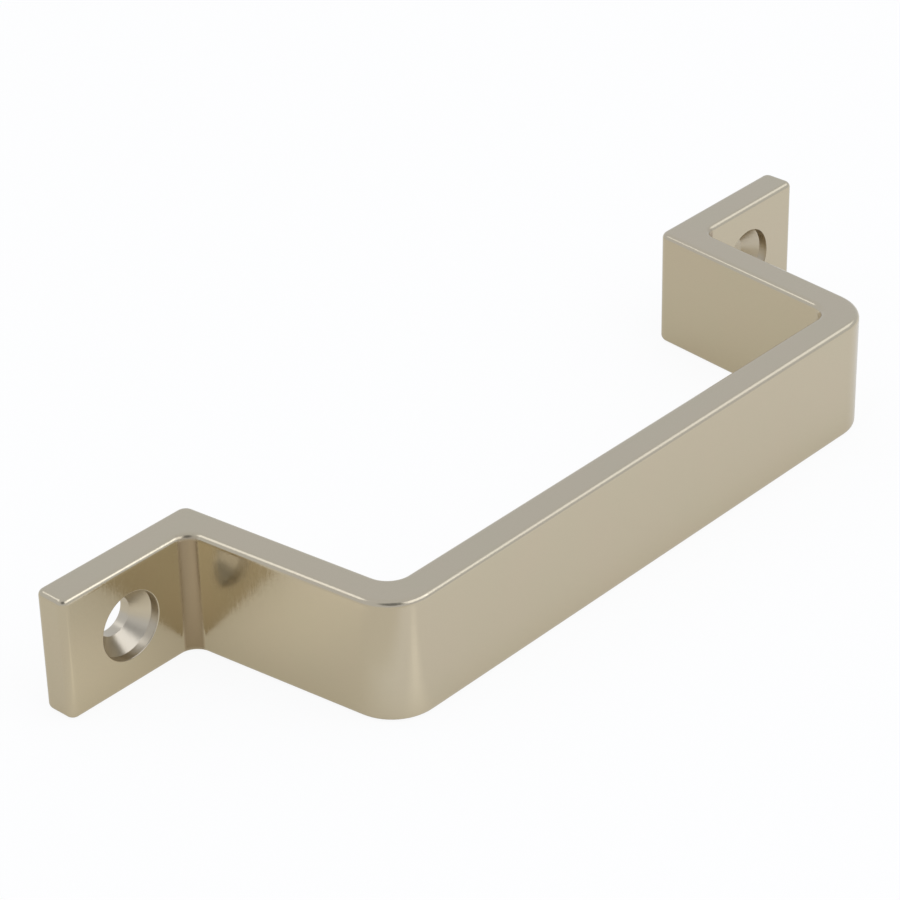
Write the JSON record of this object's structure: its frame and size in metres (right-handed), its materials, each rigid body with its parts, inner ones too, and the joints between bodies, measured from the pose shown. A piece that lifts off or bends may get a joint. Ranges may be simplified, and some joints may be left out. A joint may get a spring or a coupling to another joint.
{
  "type": "cabinet handle",
  "caption": "Flat bar pull handle with a straight grip, leaning legs and outward feet that each have a recessed screw hole, for a cabinet door or drawer.",
  "frame": {"origin": "on the mounting face, midway between the centres of the screw holes and at the middle of the bar's width", "axes": "+X along the handle, +Y out of the mounting face into the cabinet, +Z across the bar"},
  "size_m": [0.15, 0.0382, 0.018],
  "materials": {
    "satin_nickel": "satin nickel plating on a zinc casting, warm grey-beige, faintly brushed across the bar"
  },
  "bodies": {
    "root": {"handle": "satin_nickel"}
  },
  "joints": []
}
